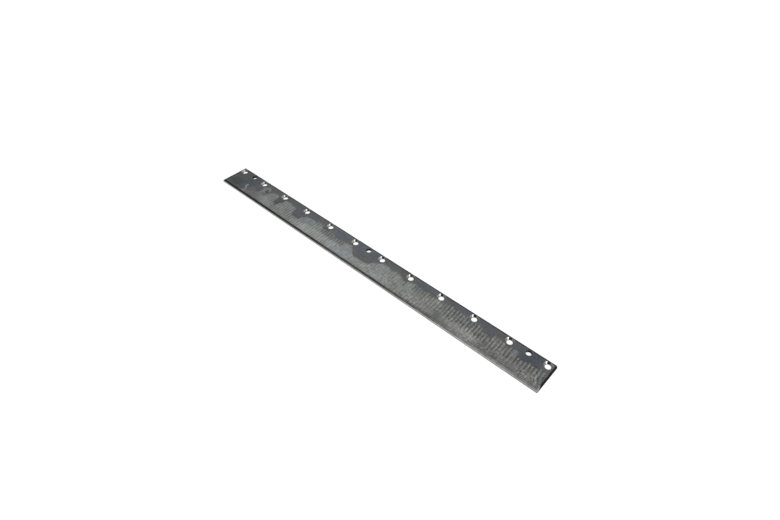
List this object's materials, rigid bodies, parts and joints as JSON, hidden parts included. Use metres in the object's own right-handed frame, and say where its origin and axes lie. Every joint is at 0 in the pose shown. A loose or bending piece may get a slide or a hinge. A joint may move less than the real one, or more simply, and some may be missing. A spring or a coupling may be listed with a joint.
{
  "type": "mower bedknife",
  "caption": "Flat steel bedknife for a reel mower: bevelled front edge and a row of countersunk screw holes with plain holes between them along the back edge.",
  "frame": {"origin": "middle of the underside, the face that seats against the bed bar", "axes": "+X along the bar, +Y towards the back edge with the screw row, +Z out of the countersunk face"},
  "size_m": [0.669, 0.0508, 0.004],
  "materials": {
    "bedknife_steel": "dark mill scale, partly ground bright across the bar, with a bright ground front edge"
  },
  "bodies": {
    "root": {"bedknife": "bedknife_steel"}
  },
  "joints": []
}
